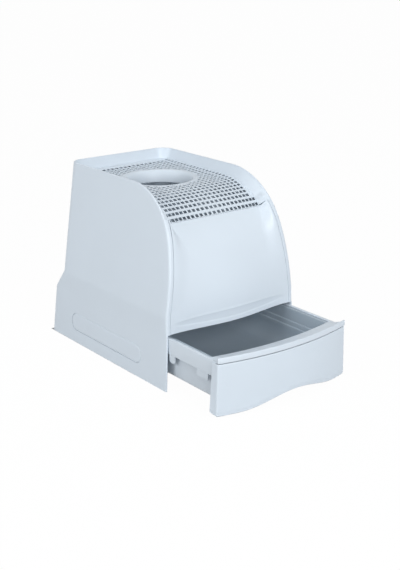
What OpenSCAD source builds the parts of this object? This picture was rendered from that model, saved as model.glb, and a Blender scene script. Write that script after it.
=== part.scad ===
// Top entry litter box: a tapered hood with a perforated deck and an entry hole in its top,
// a front flap that swings up on two pins, and a litter drawer that slides out below the flap.
// +X is right, -Y is the drawer's front and +Z is up. The drawer is drawn partly open.

/* [Hood] */
// Height of the hood from the floor to its rim
hood_h = 440; // [420:1:460]
// Half width of the hood at the floor
floor_hw = 192; // [186:1:198]
// Half width where the sloping shoulder starts
shoulder_hw = 185; // [180:1:190]
// Half width at the rim
rim_hw = 146; // [142:1:150]
// Height of the lower edge of the shoulder
skirt_h = 121.5; // [115:0.5:130]
// Height of the upper edge of the shoulder
shoulder_h = 170; // [160:1:185]
// Distance of the back wall behind the hood's datum, at the floor
back_floor = 312; // [300:1:320]
// Distance of the back wall at the top of the skirt
back_skirt = 300; // [290:1:310]
// Distance of the back wall above the shoulder
back_upper = 261; // [250:1:270]
// Distance of the back wall at the rim
back_rim = 265; // [255:1:275]
// Radius of the rounded brow of each side panel
brow_r = 163.35; // [150:0.05:175]
// How far that radius turns, in degrees
brow_turn = 74.25; // [70:0.25:78]
// Radius of the gentler curve below the brow
cheek_r = 460; // [420:1:500]
// Distance of the brow's centre in front of the datum
brow_y = 12.8; // [8:0.1:18]
// Lean of the front edge below the curves, in degrees
front_lean = 1.6; // [0:0.1:3]
// Thickness of the moulded walls
wall = 3; // [2.5:0.1:3.5]
// Width of the thick edge of the side panels beside the flap
bead_w = 11; // [9:0.5:13]
// Depth of that thick edge behind its face
bead_d = 8; // [6:0.5:10]

/* [Deck] */
// How far the deck lies below the rim
deck_drop = 32; // [28:0.5:36]
// Thickness of the deck
deck_t = 3; // [2.5:0.1:3.5]
// Half width of the deck
deck_hw = 131; // [129:0.5:132]
// Turn of the deck's curved front, in degrees
deck_turn = 44.25; // [44:0.25:45]
// Distance from hole to hole across the deck
hole_pitch_x = 11.4; // [11:0.1:11.6]
// Distance from row to row
hole_pitch_y = 12.6; // [12:0.1:14]
// Distance from row to row along the curve
curved_pitch = 13; // [12.6:0.1:13]
// Side of a square hole
hole_s = 7; // [5:0.1:7.4]
// Number of hole columns on each side of the middle one
hole_columns = 11; // [8:1:11]
// Depth of the ledge that the deck lies on
ledge_t = 3.5; // [3:0.1:4]
// Width of that ledge
ledge_w = 2.4; // [2:0.1:3]

/* [Entry] */
// Distance of the entry hole's centre behind the datum
entry_y = 94; // [88:1:100]
// Radius of the entry hole
entry_r = 88; // [82:1:92]
// Depth of the collar below the deck
collar_depth = 24; // [18:1:30]

/* [Flap] */
// Height of the flap's lower edge above the floor
flap_bottom = 131; // [130:0.5:140]
// Thickness of the flap
flap_t = 2.6; // [2:0.1:3]
// Turn along the brow where the hinge pins sit, in degrees
pivot_turn = 48.5; // [48:0.5:50]
// Depth of the hinge pins behind the edge of the side panels
pivot_depth = 9; // [8.5:0.5:10]
// Radius of a hinge pin
pin_r = 3; // [2.5:0.1:3.5]
// Running clearance round a hinge pin
pin_play = 0.05; // [0.03:0.01:0.1]
// Radius of the bosses that hold the hinge pins
boss_r = 8; // [7:0.5:8]
// How far the flap lies behind the line of the deck
flap_sink = 0.8; // [0.6:0.1:1.5]
// Gap beside the flap at its foot
flap_gap = 1; // [0.8:0.1:2]
// Gap beside the flap at its upper edge
flap_gap_top = 2.4; // [2.2:0.1:5]

/* [Drawer] */
// How far the drawer is drawn out from its closed place
drawer_out = 150; // [0:1:300]
// How far the drawer can still be drawn out before it meets its stops
drawer_travel = 185; // [150:1:190]
// Distance of the drawer front's corners ahead of the datum, closed
front_reach = 215; // [213:1:220]
// How far the middle of the drawer front stands forward of its corners
front_bow = 25; // [15:1:30]
// Half width of the drawer front at its top
front_hw = 184; // [180:1:186]
// Extra half width of the drawer front at its foot
front_flare = 7; // [4:1:8]
// Height of the lip along the top of the drawer front
lip_top = 135.5; // [130:0.5:136]
// Height of the seam between the lip and the drawer front
seam_h = 123; // [120:0.5:126]
// Clearance of the drawer front above the floor
front_gap = 3; // [2:0.5:6]
// Height of the arch in the lower edge of the drawer front
arch_h = 19; // [10:1:24]
// Half length of that arch
arch_l = 136; // [100:1:140]
// Height of the tub's floor above the ground
tub_floor = 31; // [28:0.5:34]
// Half width of the tub
tub_hw = 169; // [165:0.5:171]
// Distance of the tub's rear wall behind the datum, closed
tub_rear = 276; // [260:1:280]
// Half width of the frame on top of the tub
frame_hw = 181; // [179:0.5:181.5]
// Half width of the frame's opening
frame_in = 173; // [171:0.5:175]
// Height of the frame's top face
frame_top = 124; // [122:0.5:126]
// Height of the lower edge of the frame's skirt
frame_skirt = 88; // [84:1:94]

/* [Grip and feet] */
// Length of the insert over the carrying grip
grip_l = 300; // [280:1:310]
// Height of that insert
grip_h = 44; // [40:1:48]
// Distance of its middle behind the datum
grip_y = 57; // [50:1:65]
// Height of its middle above the floor
grip_z = 53.5; // [48:0.5:58]
// Height of the shelves over the foot pads
shelf_z = 4; // [3:0.5:6]

/* [Hidden] */
$fn = 48;
// The origin is under the middle of the box's whole length, with the drawer as drawn
drawer_y = -drawer_out;
mid_y = (front_reach + front_bow + drawer_out - back_floor) / 2;
arc_steps = 22;
cheek_steps = 8;
plastic = [0.84, 0.88, 0.93];
shade = [0.78, 0.82, 0.87];
slate = [0.36, 0.41, 0.46];
rubber = [0.25, 0.26, 0.28];

// Half width of the hood's outside at height z
function hood_hw(z) = z < shoulder_h
  ? floor_hw + (shoulder_hw - floor_hw) * z / shoulder_h
  : shoulder_hw + (rim_hw - shoulder_hw) * (z - shoulder_h) / (hood_h - shoulder_h);

// Points along an arc in the side view, from turn a to turn b measured forward from straight up
function side_arc(centre, r, a, b, n) =
  [for (i = [0:n]) let (t = a + (b - a) * i / n) centre + r * [-sin(t), cos(t)]];
brow_c = [-brow_y, hood_h - brow_r];
cheek_c = brow_c + (brow_r - cheek_r) * [-sin(brow_turn), cos(brow_turn)];
// Front edge of a side panel, d behind its face: brow, cheek, then straight to the floor
function edge_path(d, from = 0) = concat(
  side_arc(brow_c, brow_r - d, from, brow_turn, arc_steps),
  side_arc(cheek_c, cheek_r - d, brow_turn + 1, 90 + front_lean, cheek_steps)
);
function foot_of(d) = let (p = cheek_c + (cheek_r - d) * [-cos(front_lean), -sin(front_lean)])
  [p[0] - p[1] * tan(front_lean), 0];

function reversed(list) = [for (i = [len(list) - 1:-1:0]) list[i]];

// Draws children in the box's own frame
module place() {
  translate([0, mid_y, 0]) children();
}
// Draws children with the drawer at its drawn place
module on_drawer() {
  place() translate([0, drawer_y, 0]) children();
}
// Draws children on the right and their mirror image on the left
module both_sides() {
  for (side = [0, 1]) mirror([side, 0, 0]) children();
}
// Extrudes a side view, drawn as [y, z], across the box
module across(hw) {
  translate([-hw, 0, 0]) rotate([90, 0, 90]) linear_extrude(2 * hw) children();
}
// Extrudes a front view, drawn as [x, z], from y0 to y1
module along(y0, y1) {
  translate([0, y1, 0]) rotate([90, 0, 0]) linear_extrude(y1 - y0) children();
}
// Solid of the hood from its floor to height top, drawn in by d
module hood_block(d, top) {
  intersection() {
    along(front_end, 400) between_sides(d, -1, top);
    across(260) polygon([
      [front_end, 0], [back_floor - d, 0], [back_skirt - d, skirt_h], [back_upper - d, shoulder_h],
      [back_rim - d, top], [front_end, top]
    ]);
  }
}
// Front view of the space between the side walls, d inside the hood's faces
module between_sides(d, low, high) {
  polygon(concat(
    [for (z = [low, shoulder_h, high]) [hood_hw(z) - d, z]],
    [for (z = [high, shoulder_h, low]) [d - hood_hw(z), z]]
  ));
}
front_end = -260;
deck_z = hood_h - deck_drop;
pivot_r = brow_r - pivot_depth;
pivot_y = -brow_y - pivot_r * sin(pivot_turn);
pivot_z = brow_c[1] + pivot_r * cos(pivot_turn);
pivot_hw = hood_hw(pivot_z);
pin_in = pivot_hw - bead_w - 6.6;
pin_out = pivot_hw - wall + 0.5;
// Plane where the well's side walls end and the flap's upper corners begin
mouth_y = -118.5;

// Outline of the hood in the side view, d behind its front edge
module edge_area(d) {
  polygon(concat([[400, hood_h + 1 - d]], [[-brow_y, hood_h + (d > 0 ? 1 : 0) - d]], edge_path(d, 1),
    [foot_of(d)], [foot_of(d) + [0, -10]], [[400, -10]]));
}
// Rounded bar that fills the grip's place in the skirt, on the right
module grip_bar(gap, x0, x1) {
  r = grip_h / 2 - gap;
  for (y = [grip_y - grip_l / 2 + grip_h / 2, grip_y + grip_l / 2 - grip_h / 2])
    translate([x0, y, grip_z]) rotate([0, 90, 0]) cylinder(r = r, h = x1 - x0);
  translate([x0, grip_y - grip_l / 2 + grip_h / 2, grip_z - r]) cube([x1 - x0, grip_l - grip_h, 2 * r]);
}

module hood_shell() {
  low_deck = deck_z - deck_t;
  passage_hw = deck_hw + 0.4 - ledge_w;
  place() color(plastic) difference() {
    union() {
      difference() {
        intersection() {
          hood_block(0, hood_h);
          across(260) edge_area(0);
        }
        // Room inside, behind the thick edge and below the ledge
        intersection() {
          hood_block(wall, low_deck - ledge_t);
          across(260) {
            intersection() {
              edge_area(bead_d);
              translate([0, -deck_drop - deck_t - ledge_t]) edge_area(0);
            }
            translate([-300, -10]) square([400, flap_bottom + 9.8]);
          }
        }
        // Well above the deck, with walls that lean in towards it
        intersection() {
          along(front_end, 400) polygon([
            [-deck_hw - 0.4, low_deck], [deck_hw + 0.4, low_deck],
            [rim_hw - 4.5, hood_h + 1], [4.5 - rim_hw, hood_h + 1]
          ]);
          across(260) polygon([
            [front_end, low_deck], [back_rim - 12, low_deck],
            [back_rim - 5, hood_h + 1], [front_end, hood_h + 1]
          ]);
        }
        // Seat of the deck's curved front
        across(deck_hw + 0.4) polygon(concat(
          side_arc(brow_c - [0, deck_drop], brow_r - deck_t - 0.05, 0, deck_turn, arc_steps),
          [[front_end, low_deck - 60], [front_end, low_deck + 20]],
          [[back_rim - 12, low_deck + 20], [back_rim - 12, low_deck]]
        ));
        // Passage inside the ledge
        translate([-passage_hw, front_end, low_deck - 100])
          cube([2 * passage_hw, back_rim - 16 - front_end, 110]);
        // Mouth between the side panels for the flap
        along(-300, mouth_y) between_sides(bead_w, -5, hood_h);
      }
      both_sides() intersection() {
        translate([pivot_hw - bead_w, pivot_y, pivot_z]) rotate([0, 90, 0]) cylinder(r = boss_r, h = 20);
        along(-300, 0) between_sides(1, 0, hood_h);
      }
      both_sides() for (y = [-110, back_floor - 50]) translate([hood_hw(0) - 32, y - 15, shelf_z])
        cube([30, 30, 3]);
    }
    both_sides() translate([pivot_hw - 30, pivot_y, pivot_z]) rotate([0, 90, 0])
      cylinder(r = pin_r + 0.02, h = pin_out - pivot_hw + 30);
    both_sides() grip_bar(0, hood_hw(grip_z) - 8, hood_hw(grip_z) + 8);
  }
}

module deck_grid() {
  place() color(plastic) difference() {
    union() {
      translate([-deck_hw, -brow_y, deck_z - deck_t]) cube([2 * deck_hw, back_rim - 14 + brow_y, deck_t]);
      across(deck_hw) translate([-brow_y, deck_z - brow_r]) intersection() {
        difference() {
          circle(brow_r, $fn = 180);
          circle(brow_r - deck_t, $fn = 180);
        }
        polygon([[0, 0], [0, 2 * brow_r], [-2 * brow_r * sin(deck_turn), 2 * brow_r * cos(deck_turn)]]);
      }
    }
    // Straight rows of square holes, then rows that follow the curve
    translate([0, 0, deck_z - 20]) linear_extrude(40) union() {
      for (i = [-hole_columns:hole_columns], j = [0:19]) {
        x = i * hole_pitch_x;
        y = back_rim - 26 - j * hole_pitch_y;
        if (norm([x, y - entry_y]) > entry_r + 8)
          translate([x - hole_s / 2, y - hole_s / 2]) square(hole_s);
      }
      translate([0, entry_y]) circle(entry_r - 0.5, $fn = 96);
    }
    for (i = [-hole_columns:hole_columns], j = [0:9]) {
      turn = (j + 0.2) * curved_pitch / brow_r * 180 / PI;
      translate([i * hole_pitch_x, -brow_y, deck_z - brow_r]) rotate([turn, 0, 0])
        translate([-hole_s / 2, -hole_s / 2, brow_r - 12]) cube([hole_s, hole_s, 24]);
    }
  }
}

module entry_collar() {
  place() color(plastic) translate([0, entry_y, deck_z]) rotate_extrude($fn = 120) translate([entry_r, 0])
    polygon([[4.5, 0.2], [-1.2, 0.2], [-2, -3.4], [-5.5, -7], [-8, -14], [-9, -collar_depth],
      [-11.5, -collar_depth], [-10.5, -14], [-8, -6], [-4, 0], [0, 1.8], [4.5, 1.4]]);
}

module deck_latches() {
  place() color(shade) both_sides() for (y = [10, 200]) translate([deck_hw - 7, y, deck_z - deck_t])
    along(0, 14) polygon([[0, 0], [2, 0], [2, -4.2], [6.5, -4.2], [2, -12], [0, -12]]);
}

// Side view of the flap's face, moved back by d and starting at the given turn
function flap_path(d, from) = [for (p = concat(
  side_arc(brow_c, brow_r - d, from, brow_turn, 12),
  side_arc(cheek_c, cheek_r - d, brow_turn + 1.5, 90 + front_lean, 9)
)) p - [0, deck_drop]];
function flap_foot(d) = [foot_of(d)[0] + flap_bottom * tan(front_lean), flap_bottom];
module flap_sheet(from) {
  across(260) polygon(concat(
    flap_path(flap_sink, from), [flap_foot(flap_sink), flap_foot(flap_sink + flap_t)],
    reversed(flap_path(flap_sink + flap_t, from))
  ));
}
module front_flap() {
  top = pivot_z - 14;
  // Heights along the flap's sides, each with its distance inside the hood's faces
  sides = [
    [flap_bottom, bead_w + flap_gap], [shoulder_h, bead_w + flap_gap], [top, bead_w + flap_gap_top]
  ];
  place() color(plastic) difference() {
    union() {
      intersection() {
        union() {
          flap_sheet(deck_turn + 0.4);
          // Upper corners, which stand back beside the deck
          intersection() {
            flap_sheet(42);
            both_sides() translate([deck_hw + 1, -300, 300]) cube([60, 300, 100]);
          }
        }
        along(-300, 0) polygon(concat(
          [for (p = sides) [hood_hw(p[0]) - p[1], p[0]]],
          [for (p = reversed(sides)) [p[1] - hood_hw(p[0]), p[0]]]
        ));
      }
      // Ears that stand up from the sheet to the pins
      both_sides() translate([pivot_hw - bead_w - 6.2, 0, 0]) across_from_zero(4.5)
        translate([pivot_y, pivot_z]) {
          circle(6.5);
          polygon([[-6.5, 0], [-6.5, -29.2], [0.5, -22.4], [6.5, -15], [6.5, 0]]);
        }
    }
    both_sides() translate([pivot_hw - 30, pivot_y, pivot_z]) rotate([0, 90, 0])
      cylinder(r = pin_r + pin_play, h = 30);
  }
}
// Extrudes a side view from the origin to the right
module across_from_zero(length) {
  rotate([90, 0, 90]) linear_extrude(length) children();
}

module hinge_pin() {
  place() color(shade) translate([pin_in, pivot_y, pivot_z]) rotate([0, 90, 0]) {
    cylinder(r = pin_r, h = pin_out - pin_in - 0.3);
    translate([0, 0, -2]) cylinder(r = pin_r + 2.2, h = 2);
  }
}
module hinge_pin_right() {
  hinge_pin();
}
module hinge_pin_left() {
  mirror([1, 0, 0]) hinge_pin();
}

// Distance of the tub's heels in front of its rear wall
heel_back = 30;
// Rail along the inside of the skirt that carries the tub's lower edge, with a stop for the tub's heel
rail_top = tub_floor - 0.3;
stop_y = tub_rear - heel_back - drawer_out - drawer_travel - 0.3;
module runner() {
  inside = wall + 0.05;
  place() color(shade) {
    along(-160, 280) polygon([
      [hood_hw(12) - inside, 12], [hood_hw(60) - inside, 60], [hood_hw(60) - inside - 2.5, 60],
      [hood_hw(31) - inside - 2.5, rail_top], [150, rail_top], [150, rail_top - 2.7],
      [hood_hw(28) - inside - 2.5, rail_top - 2.7], [hood_hw(12) - inside - 2.5, 12]
    ]);
    translate([171.5, stop_y - 10, rail_top - 1]) cube([11, 10, 20]);
  }
}
module runner_right() {
  runner();
}
module runner_left() {
  mirror([1, 0, 0]) runner();
}

module side_grip() {
  place() color(plastic) intersection() {
    grip_bar(0.6, hood_hw(grip_z) - 8, hood_hw(grip_z) + 8);
    along(-300, 300) difference() {
      between_sides(0.05, 1, 200);
      between_sides(wall - 0.2, 0, 201);
    }
  }
}
module side_grip_right() {
  side_grip();
}
module side_grip_left() {
  mirror([1, 0, 0]) side_grip();
}

module foot_pads() {
  place() color(rubber) both_sides() for (y = [-110, back_floor - 50])
    translate([hood_hw(0) - 17, y, 0]) cylinder(r = 11, h = shelf_z);
}

// Plan of a drawer piece: straight sides, round rear corners and a bowed front
function drawer_plan(hw, front, bow, rear, r, n = 16) = concat(
  [for (i = [0:n]) let (u = 2 * i / n - 1) [u * hw, -front - bow * (1 - u * u)]],
  [for (i = [0:5]) let (t = 18 * i) [hw - r + r * cos(t), rear - r + r * sin(t)]],
  [for (i = [0:5]) let (t = 90 + 18 * i) [r - hw + r * cos(t), rear - r + r * sin(t)]]
);
tub_front = front_reach - 22;
frame_bow = 20;
tub_top = frame_top - 6.6;
module drawer_tub() {
  t = 2.5;
  on_drawer() color(shade) {
    difference() {
      translate([0, 0, tub_floor]) linear_extrude(tub_top - tub_floor)
        polygon(drawer_plan(tub_hw, tub_front, frame_bow, tub_rear, 20));
      translate([0, 0, tub_floor + t]) linear_extrude(frame_top)
        polygon(drawer_plan(tub_hw - t, tub_front - t, frame_bow, tub_rear - t, 20 - t));
    }
    // Heels that meet the stops on the rails
    both_sides() translate([tub_hw - 0.5, tub_rear - heel_back, tub_floor]) cube([12, 6, 18]);
    // Rim that the frame clips over
    translate([0, 0, tub_top - 3]) linear_extrude(3) difference() {
      polygon(drawer_plan(tub_hw + 8, tub_front, frame_bow, tub_rear + 4, 24));
      polygon(drawer_plan(tub_hw - t, tub_front - t, frame_bow, tub_rear - t, 20 - t));
    }
  }
}

module litter_pan() {
  t = 2.2;
  base = tub_floor + 2.8;
  step_h = 78;
  top = tub_top + 2.8;
  on_drawer() color(slate) difference() {
    union() {
      translate([0, 0, base]) linear_extrude(step_h - base)
        polygon(drawer_plan(tub_hw - 9, tub_front - 9, frame_bow, tub_rear - 9, 18));
      translate([0, 0, step_h - 0.01]) linear_extrude(top - step_h)
        polygon(drawer_plan(tub_hw - 3, tub_front - 3, frame_bow, tub_rear - 3, 18));
      // Flange that lies on the tub's rim
      translate([0, 0, top - 2.6]) linear_extrude(2.6)
        polygon(drawer_plan(tub_hw + 7.5, tub_front + 4, frame_bow, tub_rear + 4, 24));
    }
    translate([0, 0, base + t]) linear_extrude(step_h)
      polygon(drawer_plan(tub_hw - 9 - t, tub_front - 9 - t, frame_bow, tub_rear - 9 - t, 16));
    translate([0, 0, step_h + t]) linear_extrude(step_h)
      polygon(drawer_plan(tub_hw - 3 - t, tub_front - 3 - t, frame_bow, tub_rear - 3 - t, 16));
  }
}

frame_front = front_reach - 39.5;
// Radius in plan of the ramp between the opening and the lip
ramp_r = 750;
// Plan of a strip along the bowed front, t thick
function bow_strip(hw, reach, bow, t, n = 24) = concat(
  [for (i = [0:n]) let (u = 2 * i / n - 1) [u * hw, -reach - bow * (1 - u * u)]],
  [for (i = [n:-1:0]) let (u = 2 * i / n - 1) [u * hw, t - reach - bow * (1 - u * u)]]
);
module drawer_frame() {
  rim_t = 3.6;
  skirt_t = 2.6;
  on_drawer() color(plastic) {
    // Top rim, from the opening out to the skirt and over the shelf of the drawer front
    for (step = [[frame_top - rim_t, seam_h, 9.6], [seam_h, frame_top, 2]])
      translate([0, 0, step[0]]) linear_extrude(step[1] - step[0]) difference() {
        polygon(drawer_plan(frame_hw, front_reach - step[2], front_bow, tub_rear + 8, 26, 24));
        polygon(drawer_plan(frame_in, frame_front, frame_bow, tub_rear - 6, 18));
      }
    // Skirt down the sides and the back of the tub
    translate([0, 0, frame_skirt]) linear_extrude(frame_top - 0.5 - frame_skirt) difference() {
      polygon(drawer_plan(frame_hw, front_reach - 28, 0, tub_rear + 8, 26));
      polygon(drawer_plan(frame_hw - skirt_t, front_reach, 0, tub_rear + 8 - skirt_t, 26 - skirt_t));
    }
    // Ramp that rises from the opening to the lip
    intersection() {
      translate([0, 0, frame_top - 1]) linear_extrude(lip_top - frame_top) difference() {
        polygon(drawer_plan(frame_hw, front_reach - 2, front_bow, tub_rear + 8, 26, 24));
        polygon(drawer_plan(frame_in, frame_front, frame_bow, tub_rear - 6, 18));
      }
      translate([0, ramp_r - frame_front - frame_bow]) rotate_extrude($fn = 360) polygon([
        [ramp_r + 1, frame_top - 1], [ramp_r + 1, frame_top + 0.2],
        [ramp_r + 36, lip_top - 0.8], [ramp_r + 42, lip_top - 0.8], [ramp_r + 42, frame_top - 1]
      ]);
    }
    // Lip along the top of the drawer front
    translate([0, 0, seam_h]) linear_extrude(lip_top - seam_h)
      polygon(bow_strip(front_hw, front_reach, front_bow, 4.5));
  }
}

front_rear = front_reach - 20;
module drawer_front() {
  t = 3;
  top = seam_h - 0.4;
  foot_hw = front_hw + front_flare;
  on_drawer() color(plastic) intersection() {
    union() {
      linear_extrude(top) polygon(bow_strip(foot_hw, front_reach, front_bow, t));
      // Shelf under the lip and the side returns
      translate([0, 0, top - t]) linear_extrude(t)
        polygon(bow_strip(foot_hw, front_reach, front_bow, 9));
      along(-front_reach - 1, -front_rear) difference() {
        polygon([[-foot_hw, 0], [foot_hw, 0], [front_hw, top], [-front_hw, top]]);
        translate([0, -1]) polygon([
          [t - foot_hw, 0], [foot_hw - t, 0], [front_hw - t, top + 2], [t - front_hw, top + 2]
        ]);
      }
    }
    along(-300, 0) polygon(concat(
      [[-front_hw, top], [-foot_hw + 0.6, 14], [-foot_hw + 5, front_gap + 2], [-foot_hw + 14, front_gap]],
      [for (i = [0:16]) let (x = (i / 8 - 1) * arch_l)
        [x, front_gap + arch_h * (1 + cos(180 * x / arch_l)) / 2]],
      [[foot_hw - 14, front_gap], [foot_hw - 5, front_gap + 2], [foot_hw - 0.6, 14], [front_hw, top]]
    ));
  }
}

// Clip that hangs from the frame's skirt and hooks under the tub's rim
module catch_plate(y0, y1, low) {
  on_drawer() color(plastic) translate([frame_hw - 2.8, 0, 0]) across_from_zero(2.6) polygon([
    [y0, frame_skirt - 0.1], [y0, low + 3], [y0 + 2, low],
    [y1 - 2, low], [y1, low + 3], [y1, frame_skirt - 0.1]
  ]);
}
module front_catch_right() {
  catch_plate(-177, -139, 73);
}
module front_catch_left() {
  mirror([1, 0, 0]) front_catch_right();
}
module side_hook_right() {
  on_drawer() color(plastic) translate([frame_hw - 2.8, 0, 0]) across_from_zero(2.6) union() {
    translate([-61, 78]) square([20, frame_skirt - 78.1]);
    translate([-53, 78]) circle(8);
    translate([-49, 78]) circle(8);
  }
}
module side_hook_left() {
  mirror([1, 0, 0]) side_hook_right();
}

hood_shell();
deck_grid();
entry_collar();
deck_latches();
front_flap();
hinge_pin_left();
hinge_pin_right();
runner_left();
runner_right();
side_grip_left();
side_grip_right();
foot_pads();
drawer_tub();
litter_pan();
drawer_frame();
drawer_front();
front_catch_left();
front_catch_right();
side_hook_left();
side_hook_right();
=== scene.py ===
import math

import bmesh
import bpy
import numpy as np
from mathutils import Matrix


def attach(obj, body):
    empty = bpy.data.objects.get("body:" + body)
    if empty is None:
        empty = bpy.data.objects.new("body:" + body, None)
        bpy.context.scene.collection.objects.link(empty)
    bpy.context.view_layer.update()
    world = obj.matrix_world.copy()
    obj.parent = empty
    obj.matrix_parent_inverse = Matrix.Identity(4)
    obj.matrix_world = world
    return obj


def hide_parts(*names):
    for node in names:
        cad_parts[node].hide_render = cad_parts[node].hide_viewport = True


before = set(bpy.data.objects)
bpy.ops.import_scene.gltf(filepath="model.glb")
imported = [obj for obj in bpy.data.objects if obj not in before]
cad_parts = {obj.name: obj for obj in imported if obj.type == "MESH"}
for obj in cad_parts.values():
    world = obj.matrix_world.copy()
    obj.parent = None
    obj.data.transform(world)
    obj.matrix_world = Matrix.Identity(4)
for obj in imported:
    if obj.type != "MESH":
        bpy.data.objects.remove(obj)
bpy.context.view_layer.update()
print("frame loaded:", len(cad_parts), "nodes")

# Shapes are worked out in mm from the hood's datum and put into metres in the frame. The drawer's pieces are
# worked out as they lie when it is shut, and shifted by drawerOut
datumY = 39.0
drawerOut = 150.0


# Eases from 0 to 1 as x does: three times x squared less twice x cubed
def smooth(x):
    x = np.clip(x, 0, 1)
    return x * x * (3 - 2 * x)


# Unit vector (y, z) at a turn from straight up towards the front: minus its sine, and its cosine
def radial(turn):
    return np.stack([-np.sin(turn), np.cos(turn)], -1)


# Even turns round a full circle, without the last one that falls on the first
def circleTurns(count):
    return np.linspace(0, 2 * math.pi, count + 1)[:-1]


# Quads between neighbouring points of a grid with the given numbers of rows and columns
def gridFaces(rows, cols, closed=False):
    r = np.arange(rows - 1)[:, None]
    c = np.arange(cols if closed else cols - 1)[None, :]
    n = (c + 1) % cols
    quads = np.stack([r * cols + c, r * cols + n, (r + 1) * cols + n, (r + 1) * cols + c], -1)
    return quads.reshape(-1, 4)


# Rings of equally many points, each joined to the next, with a cap on the last one and, if wanted, the first
def joinRings(rings, firstCap=True):
    rows, n = len(rings), len(rings[0])
    caps = [list(range(n))] if firstCap else []
    caps.append(list(range((rows - 1) * n, rows * n)))
    return np.concatenate(rings), list(gridFaces(rows, n, True)) + caps


# Joins (points, faces) pairs into one list of points and one of faces
def joinParts(parts):
    points, faces, start = [], [], 0
    for p, f in parts:
        p = np.asarray(p, float).reshape(-1, 3)
        points.append(p)
        faces += [[int(i) + start for i in face] for face in f]
        start += len(p)
    return np.concatenate(points), faces


# Smooth shading that stops at edges which turn by more than sharp degrees
def shade(piece, sharp):
    piece.data.polygons.foreach_set("use_smooth", np.ones(len(piece.data.polygons), bool))
    piece.data.set_sharp_from_angle(angle=math.radians(sharp))


# Puts the shape that the modifiers give into the mesh, and takes the modifiers off
def applyModifiers(piece):
    graph = bpy.context.evaluated_depsgraph_get()
    done = bpy.data.meshes.new_from_object(piece.evaluated_get(graph))
    piece.modifiers.clear()
    old = piece.data
    piece.data = done
    bpy.data.meshes.remove(old)


# A piece from parts in mm: welds its seams, makes the faces agree, and gives a sheet its wall. outward is an
# axis and a sign: the outermost face along that axis has to look that way
def makePiece(name, parts, shift=0.0, wall=0.0, sharp=40, outward=None, weld=0.02):
    points, faces = joinParts(parts)
    points = (points + [0, datumY + shift, 0]) / 1000
    mesh = bpy.data.meshes.new(name)
    mesh.from_pydata(points.tolist(), [], faces)
    bm = bmesh.new()
    bm.from_mesh(mesh)
    bmesh.ops.remove_doubles(bm, verts=bm.verts, dist=weld / 1000)
    bmesh.ops.dissolve_degenerate(bm, edges=bm.edges, dist=1e-6)
    bmesh.ops.recalc_face_normals(bm, faces=bm.faces)
    if outward is not None:
        axis, sign = outward
        facing = [f for f in bm.faces if abs(f.normal[axis]) > 0.5]
        outermost = max(facing, key=lambda f: sign * f.calc_center_median()[axis])
        if outermost.normal[axis] * sign < 0:
            bmesh.ops.reverse_faces(bm, faces=bm.faces)
    bm.to_mesh(mesh)
    bm.free()
    piece = bpy.data.objects.new(name, mesh)
    bpy.context.scene.collection.objects.link(piece)
    if wall:
        mod = piece.modifiers.new("wall", "SOLIDIFY")
        mod.thickness = wall / 1000
        mod.offset = -1
        mod.use_even_offset = True
        applyModifiers(piece)
    shade(piece, sharp)
    return piece


# Cuts the cutter's space out of a piece, and does away with the cutter
def cutOut(piece, cutter, sharp):
    mod = piece.modifiers.new("cut", "BOOLEAN")
    mod.operation = "DIFFERENCE"
    mod.solver = "EXACT"
    mod.object = cutter
    applyModifiers(piece)
    bpy.data.objects.remove(cutter)
    shade(piece, sharp)


# Gives a piece one material in place of any that it has
def paint(piece, material):
    piece.data.materials.clear()
    piece.data.materials.append(material)


# Puts a piece on its body in place of CAD nodes, with its finish
def finishPiece(piece, body, nodes, finishName):
    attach(piece, body)
    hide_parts(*nodes)
    paint(piece, finish[finishName])
    tris = sum(len(p.vertices) - 2 for p in piece.data.polygons)
    print("piece", piece.name, tris, "triangles")


class Value:
    # One number socket: sums, differences, products and comparisons of it, either way round, add Math nodes
    def __init__(self, shader, socket):
        self.shader = shader
        self.socket = socket

    def math(self, operation, first, second, clamp=False):
        settings = {"operation": operation, "use_clamp": clamp}
        return self.shader.add("ShaderNodeMath", settings, {0: first, 1: second}).value()

    def __add__(self, other):
        return self.math("ADD", self, other)

    __radd__ = __add__

    def __mul__(self, other):
        return self.math("MULTIPLY", self, other)

    __rmul__ = __mul__

    def __sub__(self, other):
        return self.math("SUBTRACT", self, other)

    def __rsub__(self, other):
        return self.math("SUBTRACT", other, self)

    def __lt__(self, other):
        return self.math("LESS_THAN", self, other)

    def __gt__(self, other):
        return self.math("GREATER_THAN", self, other)

    def __abs__(self):
        return self.math("ABSOLUTE", self, 0.0)

    # The same number, kept between 0 and 1
    def limited(self):
        return self.math("ADD", self, 0.0, clamp=True)


class Node:
    def __init__(self, shader, node):
        self.shader = shader
        self.node = node

    def out(self, key=0):
        return self.node.outputs[key]

    def value(self, key=0):
        return Value(self.shader, self.node.outputs[key])


class Shader:
    # The nodes of one material or world
    def __init__(self, owner):
        owner.use_nodes = True
        self.tree = owner.node_tree
        self.tree.nodes.clear()

    # Any node: its type, its settings first, then values or links for its sockets
    def add(self, kind, settings=None, inputs=None):
        node = self.tree.nodes.new(kind)
        for key, setting in (settings or {}).items():
            setattr(node, key, setting)
        for key, given in (inputs or {}).items():
            if isinstance(given, Value):
                given = given.socket
            elif isinstance(given, Node):
                given = given.out()
            if isinstance(given, bpy.types.NodeSocket):
                self.tree.links.new(given, node.inputs[key])
            else:
                node.inputs[key].default_value = given
        return Node(self, node)


# Noise over every moulding, and how much of it goes into roughness and bump
moulding = {
    "clouds": {"Scale": 9.0, "Detail": 2.0}, "scuffs": {"Scale": 60.0, "Detail": 4.0, "Roughness": 0.6},
    "fine": {"Scale": 1400.0, "Detail": 1.0}, "scuffShare": 0.10, "cloudShare": 0.05, "bump": 0.25,
}


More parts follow.
